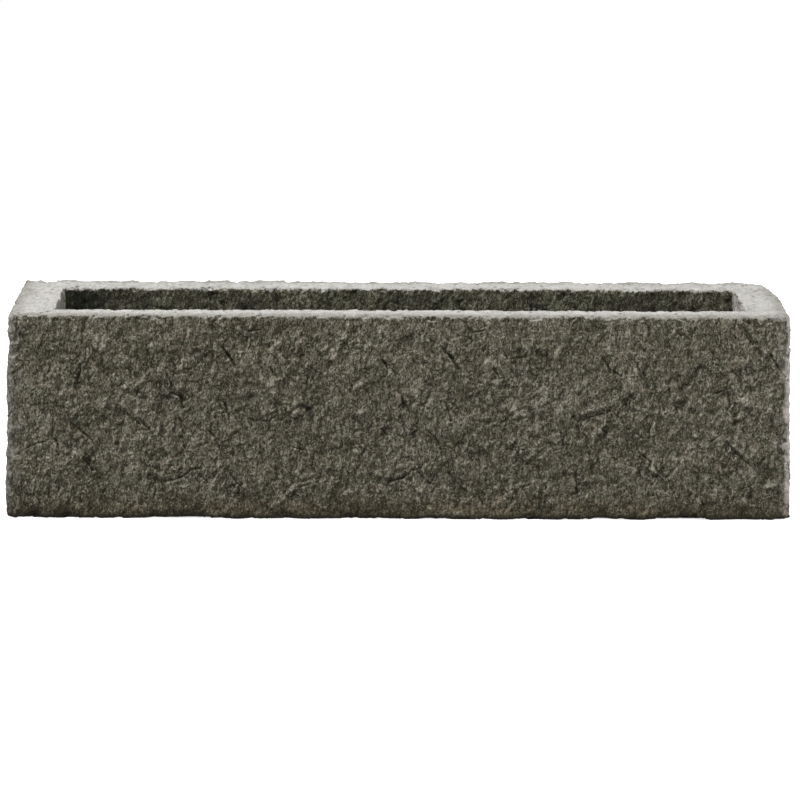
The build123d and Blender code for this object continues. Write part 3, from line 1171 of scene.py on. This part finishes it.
    def weathered_skin(self, sheet: NodeSheet, tones: StoneTones) -> Socket:
        """Colour the skin by its patterns and its relief, which carries painted shade and light.

        Its hue varies from grain to grain, from the green of algae to the pink of fresh sand.

        Args:
            sheet: The material's node tree.
            tones: What the colours are mixed by.

        Returns:
            The colour.
        """
        shares = (
            (tones.grain, 1.3, -0.65),
            (tones.grit, 1.0, -0.5),
            # Painted shading: paler on each grain's upper left side, darker on its lower right
            (tones.painted_emboss, 0.8, 0.0),
            # Creases are darkened, partly as dirt and partly as painted shade
            (tones.crease, -0.30, 0.0),
            (tones.fleck, 0.16, -0.08),
            (tones.patch, 0.28, -0.14),
            # Relief brings its painted shading and painted highlights into the tone
            (tones.relief, 0.085, 0.52),
        )
        tone = 0.0
        for pattern, gain, shift in shares:
            part = sheet.add("Math", pattern, gain, shift, **TIMES_PLUS)
            tone = sheet.add("Math", part, tone, **PLUS)
        skin = sheet.add("ValToRGB", tone, stops=((0.10, "1d1b0e"), (0.34, "434031"),
                         (0.50, "5f5b4c"), (0.66, "7f7b6d"), (0.88, "aca89b")))
        # Painted shade: cuts are painted nearly black, as the shade inside them
        cut = sheet.add("Math", tones.painted_cut_shade, 0.7, **TIMES)
        skin = sheet.add("Mix", cut, skin, "1c1b12", **MIXED)
        hue = sheet.add("TexNoise", Vector=tones.place, Scale=1.25 / self.grain, Detail=2.0,
                        Roughness=0.7, Distortion=0.4)
        hues = sheet.add("ValToRGB", hue, stops=((0.34, "eaf5e8"), (0.5, "f4f4f4"),
                         (0.66, "fdf1ec")))
        return sheet.add("Mix", 1.0, skin, hues, **TINTED)

    def shut_in(self, sheet: NodeSheet, tones: StoneTones, body: Socket) -> Socket:
        """Darken the cavity in streaks that run down, as damp walls and as painted shade.

        Args:
            sheet: The material's node tree.
            tones: What the colours are mixed by.
            body: The colour so far.

        Returns:
            The colour.
        """
        drawn = sheet.add("VectorMath", tones.place, (1.0, 1.0, 0.22), **TIMES)
        runs = sheet.add("TexNoise", Vector=drawn, Scale=1 / self.streak, Detail=4.0,
                         Roughness=0.72)
        spans = sheet.add("TexNoise", Vector=tones.place, Scale=1 / self.streaked_patch,
                          Detail=2.0, Roughness=0.5)
        streak = sheet.add("MapRange", runs, 0.38, 0.64, **SMOOTH)
        span = sheet.add("MapRange", spans, 0.38, 0.62, 0.0, 0.4, **SMOOTH)
        lighter = sheet.add("Math", streak, 0.6, span, **TIMES_PLUS)
        # Damp and painted shade: a dark green-grey tint over the cavity
        wet_and_shaded = sheet.add("ValToRGB", lighter, stops=((0.1, "363e2f"), (0.5, "656f5d"),
                        (0.9, "a5af98")))
        return sheet.add("Mix", tones.damp_and_painted_shade, body, wet_and_shaded, **TINTED)

    def bleached_and_lit(self, sheet: NodeSheet, tones: StoneTones, body: Socket) -> Socket:
        """Bleach what faces up near the rim, with painted light from above, apart from its pores.

        Args:
            sheet: The material's node tree.
            tones: What the colours are mixed by.
            body: The colour so far.

        Returns:
            The colour.
        """
        across = sheet.add("VectorMath", tones.place, (1.0, 0.3, 1.0), **TIMES)
        speckle = sheet.add("TexNoise", Vector=across, Scale=1 / self.speckle, Detail=4.0,
                            Roughness=0.75, Distortion=0.4)
        tone = sheet.add("Math", speckle, 0.65, **TIMES)
        tone = sheet.add("Math", tones.relief, 0.04, tone, **TIMES_PLUS)
        tone = sheet.add("Math", tones.blotch, 0.35, tone, **TIMES_PLUS)
        pale = sheet.add("ValToRGB", tone, stops=((0.30, "7e7b73"), (0.42, "a3a19b"),
                         (0.51, "b7b5b0"), (0.66, "c5c3bf")))
        # Painted light: a pink tint where the end walls and uprights are painted lit
        pale = sheet.add("Mix", tones.painted_light_and_scuffs, pale, "fff6f4", **TINTED)
        pore = sheet.add("TexVoronoi", Vector=tones.place, Scale=1 / self.pore, out="Distance")
        pore = sheet.add("MapRange", pore, 0.12, 0.26, 1.0, 0.0, **SMOOTH)
        grouped = sheet.add("MapRange", tones.blotch, 0.44, 0.56, **SMOOTH)
        pore = sheet.add("Math", pore, grouped, **TIMES)
        pale = sheet.add("Mix", pore, pale, "858178", **TINTED)
        return sheet.add("Mix", self.bleached_and_lit_share(sheet, tones), body, pale, **MIXED)

    @staticmethod
    def bleached_and_lit_share(sheet: NodeSheet, tones: StoneTones) -> Socket:
        """Tell how far a point is bleached and painted lit: on the rim, raggedly under it, and
        where it is painted lit or scuffed.

        Args:
            sheet: The material's node tree.
            tones: What the colours are mixed by.

        Returns:
            The share, from 0 to 1.
        """
        height = sheet.add("SeparateXYZ", tones.place, out="Z")
        # Facing up counts as bleaching and as painted light from above
        up = sheet.add("SeparateXYZ", sheet.add("NewGeometry", out="Normal"), out="Z")
        uneven = sheet.add("Math", tones.grain, 0.5, -0.25, **TIMES_PLUS)
        facing = sheet.add("Math", up, uneven, **PLUS)
        facing = sheet.add("MapRange", facing, 0.42, 0.72, **SMOOTH)
        near_top = sheet.add("MapRange", height, HEIGHT - 30 * MM, HEIGHT - 6 * MM, **SMOOTH)
        on_rim = sheet.add("Math", facing, near_top, **TIMES)
        ragged = sheet.add("Math", tones.blotch, 16 * MM, -19 * MM, **TIMES_PLUS)
        ragged = sheet.add("Math", tones.grain, 22 * MM, ragged, **TIMES_PLUS)
        ragged = sheet.add("Math", height, ragged, **PLUS)
        upper = sheet.add("MapRange", ragged, HEIGHT - 4.5 * MM, HEIGHT - 2 * MM, 0.0, 0.8,
                          **SMOOTH)
        share = sheet.add("Math", on_rim, upper, **LARGER)
        dirt = sheet.add("Math", tones.grain, tones.soiled, **TIMES)
        clean = sheet.add("Math", dirt, -0.9, 1.0, **TIMES_PLUS)
        share = sheet.add("Math", share, clean, **TIMES)
        open_air = sheet.add("Math", tones.damp_and_painted_shade, -0.9, 1.0, **TIMES_PLUS)
        share = sheet.add("Math", share, open_air, **TIMES)
        worn_and_lit = sheet.add("MapRange", tones.grain, 0.3, 0.52, **SMOOTH)
        worn_and_lit = sheet.add("Math", tones.painted_light_and_scuffs, worn_and_lit, **TIMES)
        return sheet.add("Math", share, worn_and_lit, **LARGER)

    def stained(self, sheet: NodeSheet, tones: StoneTones, body: Socket) -> Socket:
        """Stain the foot brown where it draws up water, and paint shade nearly black at the ground.

        Args:
            sheet: The material's node tree.
            tones: What the colours are mixed by.
            body: The colour so far.

        Returns:
            The colour.
        """
        height = sheet.add("SeparateXYZ", tones.place, out="Z")
        low = sheet.add("MapRange", height, 4 * MM, self.stain_height, 1.0, 0.0, **SMOOTH)
        uneven = sheet.add("Math", tones.blotch, 0.9, 0.3, **TIMES_PLUS)
        low = sheet.add("Math", low, uneven, **TIMES)
        body = sheet.add("Mix", low, body, "bdb19b", **TINTED)
        # Painted shade: nearly black along the ground, where shade falls
        painted_ground_shade = sheet.add("MapRange", height, 1 * MM, 12 * MM, 1.0, 0.0, **SMOOTH)
        return sheet.add("Mix", painted_ground_shade, body, "4c4739", **TINTED)


@dataclass(frozen=True)
class MouldedPvc:
    """Hard PVC, injection moulded.

    The eye gets an even satin grey, dulled by a film of silt that has settled in it unevenly.
    """

    name: str = "pvc_moulded_grey"
    silt: float = 9 * MM
    roughness: float = 0.48
    silted_roughness: float = 0.85

    def make(self) -> bpy.types.Material:
        """Build the material.

        Returns:
            The material.
        """
        sheet = NodeSheet(bpy.data.materials.new(self.name))
        place = sheet.add("TexCoord", out="Object")
        silt = sheet.add("TexNoise", Vector=place, Scale=1 / self.silt, Detail=5.0, Roughness=0.6)
        colour = sheet.add("ValToRGB", silt, stops=((0.36, "4d5052"), (0.52, "5c5e5d"),
                           (0.68, "7a756a")))
        rough = sheet.add("MapRange", silt, 0.4, 0.65, self.roughness, self.silted_roughness)
        raised = sheet.add("Bump", Strength=0.25, Distance=0.3 * MM, Height=silt)
        shader = sheet.add("BsdfPrincipled", Base_Color=colour, Roughness=rough, IOR=1.53,
                           Normal=raised)
        sheet.add("OutputMaterial", Surface=shader)
        return sheet.owner


@dataclass(frozen=True)
class MouldedRubber:
    """EPDM rubber, compression moulded.

    The eye gets a matt black with a faint sheen on its edges and pale dust on what faces up.
    """

    name: str = "rubber_moulded_black"
    dust: float = 5 * MM
    skin: float = 0.8 * MM
    roughness: float = 0.68

    def make(self) -> bpy.types.Material:
        """Build the material.

        Returns:
            The material.
        """
        sheet = NodeSheet(bpy.data.materials.new(self.name))
        place = sheet.add("TexCoord", out="Object")
        dust = sheet.add("TexNoise", Vector=place, Scale=1 / self.dust, Detail=6.0, Roughness=0.7)
        up = sheet.add("SeparateXYZ", sheet.add("NewGeometry", out="Normal"), out="Z")
        faces_up = sheet.add("MapRange", up, 0.2, 0.95, **SMOOTH)
        dusty = sheet.add("MapRange", dust, 0.38, 0.68, 0.0, 0.55, **SMOOTH)
        settled = sheet.add("Math", faces_up, dusty, **TIMES)
        rubber = sheet.add("ValToRGB", dust, stops=((0.35, "1b1b1a"), (0.65, "262524")))
        colour = sheet.add("Mix", settled, rubber, "6b665b", **MIXED)
        skin = sheet.add("TexNoise", Vector=place, Scale=1 / self.skin, Detail=2.0, Roughness=0.5)
        raised = sheet.add("Bump", Strength=0.3, Distance=0.15 * MM, Height=skin)
        shader = sheet.add("BsdfPrincipled", Base_Color=colour, Roughness=self.roughness, IOR=1.52,
                           Normal=raised)
        sheet.add("OutputMaterial", Surface=shader)
        return sheet.owner


@dataclass
class Trough:
    """The casting: its rough skin and its weathered finish."""

    skin: StoneSkin = field(default_factory=StoneSkin)
    finish: WeatheredCastStone = field(default_factory=WeatheredCastStone)

    def build(self) -> bpy.types.Object:
        """Make the casting, dress it and set it on its body.

        Returns:
            The casting.
        """
        piece = self.skin.build(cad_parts["trough_body"])
        piece.data.materials.append(self.finish.make())
        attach(piece, "trough")
        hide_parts("trough_body")
        LOG.info("%s: %d faces", piece.name, len(piece.data.polygons))
        return piece


@dataclass
class Drains:
    """The three drains: each is a sleeve in the floor and the plug that closes it."""

    places: tuple[str, ...] = ("left", "centre", "right")
    sleeve_finish: MouldedPvc = field(default_factory=MouldedPvc)
    plug_finish: MouldedRubber = field(default_factory=MouldedRubber)

    def dress(self) -> None:
        """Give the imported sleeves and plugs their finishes."""
        pvc, rubber = self.sleeve_finish.make(), self.plug_finish.make()
        for kind, finish in (("drain_sleeve", pvc), ("drain_plug", rubber)):
            for place in self.places:
                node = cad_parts[f"{kind}_{place}"]
                for cell in node.material_slots:
                    cell.material = finish
                LOG.info("%s: %s", node.name, finish.name)


@dataclass(frozen=True)
class Softbox:
    """A soft lamp: its name, where it hangs, its width and height in metres, and its watts."""

    name: str
    place: tuple[float, float, float]
    size: tuple[float, float]
    power: float

    def hang(self) -> None:
        """Hang the lamp, so that it faces the middle of the trough."""
        light = bpy.data.lights.new(self.name, "AREA")
        light.shape = "RECTANGLE"
        light.size, light.size_y = self.size
        light.energy = self.power
        holder = bpy.data.objects.new(self.name, light)
        bpy.context.scene.collection.objects.link(holder)
        holder.location = self.place
        way = Vector((0, 0, HEIGHT / 2)) - Vector(self.place)
        holder.rotation_euler = way.to_track_quat("-Z", "Y").to_euler()


@dataclass
class Studio:
    """A plain pale studio: an even world, four soft lamps, a floor and the camera."""

    world_strength: float = 0.32
    floor_span: float = 60.0
    # The floor lies just under the base, so that the two faces don't lie in one another
    floor_drop: float = 0.2 * MM
    floor_glow: float = 0.74
    lamps: tuple[Softbox, ...] = (
        Softbox("lamp_over", (-0.5, -0.9, 2.6), (2.2, 1.2), 86.0),
        Softbox("lamp_right", (2.5, -0.75, 0.7), (0.8, 1.2), 40.0),
        Softbox("lamp_left", (-2.4, -1.2, 0.8), (0.8, 1.2), 20.0),
        Softbox("lamp_back", (0.3, 2.6, 1.9), (2.4, 1.2), 42.0),
    )
    lens: float = 190.25
    sensor: float = 36.0
    camera_place: tuple[float, float, float] = (-0.0673, -6.6536, 1.3645)
    azimuth: float = radians(0.606)
    elevation: float = radians(10.284)
    roll: float = radians(0.303)

    def build(self) -> None:
        """Set up everything that isn't part of the object."""
        self.light_world()
        self.lay_floor()
        for lamp in self.lamps:
            lamp.hang()
        self.stand_camera()
        bpy.context.scene.view_settings.view_transform = "Standard"

    @staticmethod
    def seen_directly(sheet: NodeSheet) -> Socket:
        """Tell what the camera sees itself, in a gloss or through glass.

        Args:
            sheet: The node tree of the floor or the world.

        Returns:
            1 for what it sees and 0 for the rest.
        """
        rays = ("Is Camera Ray", "Is Glossy Ray", "Is Transmission Ray")
        seen, gloss, glass = (sheet.add("LightPath", out=ray) for ray in rays)
        return sheet.add("Math", sheet.add("Math", seen, gloss, **LARGER), glass, **LARGER)

    def light_world(self) -> None:
        """Light evenly from all round, over a white background."""
        world = bpy.data.worlds.new("studio_world")
        bpy.context.scene.world = world
        sheet = NodeSheet(world)
        dim = sheet.add("Background", "ffffff", self.world_strength)
        white = sheet.add("Background", "ffffff", 1.0)
        shown = sheet.add("MixShader", self.seen_directly(sheet), dim, white)
        sheet.add("OutputWorld", Surface=shown)

    def lay_floor(self) -> None:
        """Lay a wide pale floor, which keeps the object's shadow and otherwise shows white."""
        mesh = bpy.data.meshes.new("studio_floor")
        half = self.floor_span / 2
        corners = [(-half, -half, 0), (half, -half, 0), (half, half, 0), (-half, half, 0)]
        mesh.from_pydata(corners, [], [(0, 1, 2, 3)])
        floor = bpy.data.objects.new("studio_floor", mesh)
        bpy.context.scene.collection.objects.link(floor)
        floor.location.z = -self.floor_drop
        sheet = NodeSheet(bpy.data.materials.new("floor_paper_pale"))
        plain = sheet.add("BsdfDiffuse", "767676")
        pale = sheet.add("BsdfDiffuse", "e6e6e6")
        lit = sheet.add("AddShader", pale, sheet.add("Emission", "ffffff", self.floor_glow))
        shown = sheet.add("MixShader", self.seen_directly(sheet), plain, lit)
        sheet.add("OutputMaterial", Surface=shown)
        mesh.materials.append(sheet.owner)

    def stand_camera(self) -> None:
        """Stand the camera where the photograph was taken from, turned and rolled as it was."""
        across, climb = self.azimuth, self.elevation
        ahead = Vector((sin(across) * cos(climb), cos(across) * cos(climb), -sin(climb)))
        right = Vector((cos(across), -sin(across), 0))
        up = right.cross(ahead)
        tilted_right = cos(self.roll) * right + sin(self.roll) * up
        tilted_up = cos(self.roll) * up - sin(self.roll) * right
        turn = Matrix((tilted_right, tilted_up, -ahead)).transposed()
        lens = bpy.data.cameras.new("studio_camera")
        lens.lens = self.lens
        lens.sensor_width = self.sensor
        lens.clip_end = 100.0
        camera = bpy.data.objects.new("studio_camera", lens)
        bpy.context.scene.collection.objects.link(camera)
        camera.matrix_world = Matrix.Translation(self.camera_place) @ turn.to_4x4()
        bpy.context.scene.camera = camera


def main() -> None:
    """Dress the trough and its drains, and light them."""
    logging.basicConfig(level=logging.INFO, format="%(name)s: %(message)s")
    Trough().build()
    Drains().dress()
    Studio().build()


if __name__ == "__main__":
    main()
